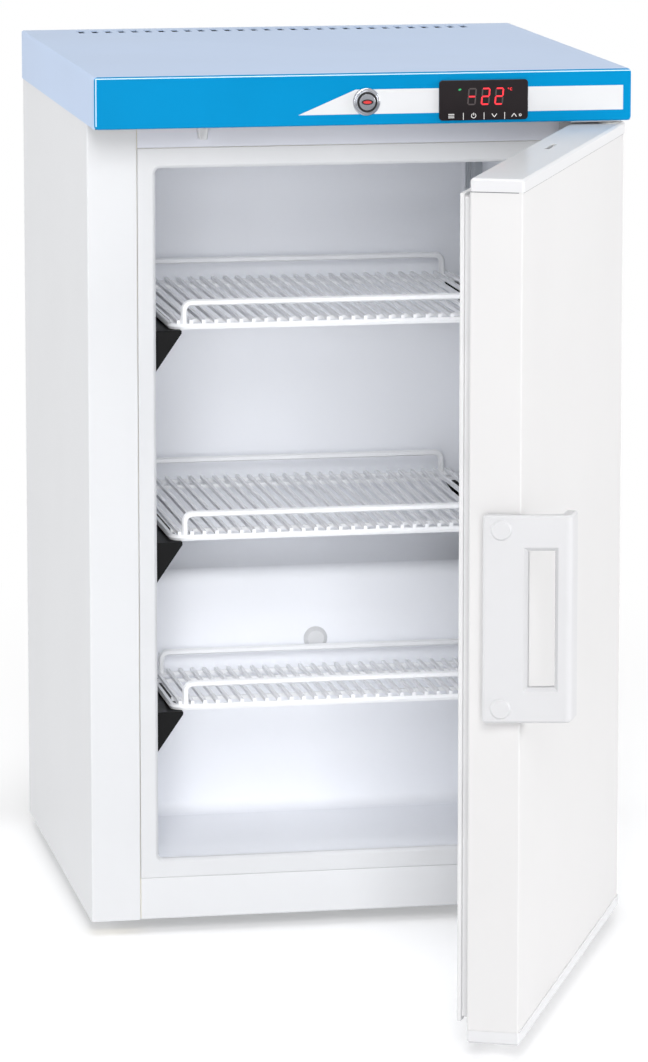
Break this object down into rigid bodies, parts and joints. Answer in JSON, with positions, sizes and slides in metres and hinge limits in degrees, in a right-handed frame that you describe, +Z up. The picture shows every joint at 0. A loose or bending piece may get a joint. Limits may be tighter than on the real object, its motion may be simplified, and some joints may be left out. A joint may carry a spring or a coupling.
{
  "type": "undercounter laboratory freezer",
  "caption": "Undercounter laboratory freezer with a hinged insulated door, side handle, key lock, digital controller and sliding wire shelves.",
  "frame": {"origin": "on the floor, midway across the cabinet and midway between the cabinet's back and the handle of the door as it stands open at rest", "axes": "+X to the right of someone who faces the door, +Y from the door to the cabinet's back, +Z up"},
  "size_m": [0.4503, 0.8731, 0.733],
  "materials": {
    "white_enamel": "smooth white powder coat",
    "cover_enamel": "pale blue-grey powder coat",
    "fascia_blue": "bright blue satin enamel",
    "band_white": "plain white film",
    "galvanised": "bare galvanised sheet",
    "foam": "rigid polyurethane foam",
    "liner_white": "gloss vacuum-formed liner",
    "trim_white": "gloss moulded plastic",
    "gasket": "soft white extrusion",
    "black_plastic": "black moulded plastic",
    "lens_black": "gloss dark window",
    "wire_white": "plastic-coated wire",
    "lock_chrome": "bright nickel plate",
    "steel": "zinc-plated steel",
    "hinge_steel": "plated steel",
    "bush": "natural acetal",
    "aluminium": "plain aluminium sheet",
    "compressor_black": "black enamel",
    "rubber_black": "black rubber",
    "copper": "drawn copper",
    "condenser_black": "black enamel",
    "guard_grey": "grey moulded plastic",
    "probe": "dark sleeve",
    "magnet": "dark magnet",
    "foot_black": "black pad"
  },
  "bodies": {
    "cabinet": {"side_panel_left": "white_enamel", "side_panel_right": "white_enamel", "front_plinth": "white_enamel", "upper_crossmember": "white_enamel", "base_pan": "galvanised", "rear_panel": "galvanised", "breaker_frame": "trim_white", "inner_liner": "liner_white", "evaporator_panel": "aluminium", "foam_insulation": "foam", "top_deck": "galvanised", "top_cover": "cover_enamel", "fascia_panel": "fascia_blue", "fascia_band": "band_white", "controller_housing": "black_plastic", "controller_lens": "lens_black", "lock_barrel": "lock_chrome", "lock_nut": "steel", "hinge_plate_top": "hinge_steel", "hinge_plate_bottom": "hinge_steel", "hinge_screws": "steel", "feet": "foot_black", "door_sensor": "trim_white", "shelf_runners": "black_plastic", "port_plug": "trim_white", "probe_guard": "guard_grey", "temperature_probe": "probe", "compressor_shell": "compressor_black", "compressor_mount": "compressor_black", "compressor_grommets": "rubber_black", "compressor_bolts": "steel", "start_relay": "black_plastic", "condenser": "condenser_black", "condenser_clips": "black_plastic", "filter_drier": "copper", "discharge_tube": "copper", "suction_tube": "copper", "capillary_tube": "copper", "cord_gland": "rubber_black"},
    "door": {"door_skin": "white_enamel", "door_cap_top": "trim_white", "door_cap_bottom": "trim_white", "door_inner_liner": "liner_white", "door_foam": "foam", "door_gasket": "gasket", "door_handle": "trim_white", "handle_screws": "steel", "handle_caps": "trim_white", "hinge_bushes": "bush", "sensor_magnet": "magnet"},
    "lock": {"lock_plug": "lock_chrome", "lock_cam": "steel"},
    "shelf_1": {"shelf_deck_1": "wire_white", "shelf_rails_1": "wire_white"},
    "shelf_2": {"shelf_deck_2": "wire_white", "shelf_rails_2": "wire_white"},
    "shelf_3": {"shelf_deck_3": "wire_white", "shelf_rails_3": "wire_white"}
  },
  "joints": [
    {"name": "door_swing", "type": "hinge", "parent": "cabinet", "child": "door", "pos_m": [0.209, -0.0184, 0.35], "axis": [0, 0, 1], "range_deg": [-66.5, 53.5]},
    {"name": "lock_turn", "type": "hinge", "parent": "cabinet", "child": "lock", "pos_m": [0.001, -0.0139, 0.7093], "axis": [0, 1, 0], "range_deg": [0, 90]},
    {"name": "shelf_1_slide", "type": "slide", "parent": "cabinet", "child": "shelf_1", "axis": [0, -1, 0], "range_m": [0, 0.085]},
    {"name": "shelf_2_slide", "type": "slide", "parent": "cabinet", "child": "shelf_2", "axis": [0, -1, 0], "range_m": [0, 0.085]},
    {"name": "shelf_3_slide", "type": "slide", "parent": "cabinet", "child": "shelf_3", "axis": [0, -1, 0], "range_m": [0, 0.085]}
  ]
}
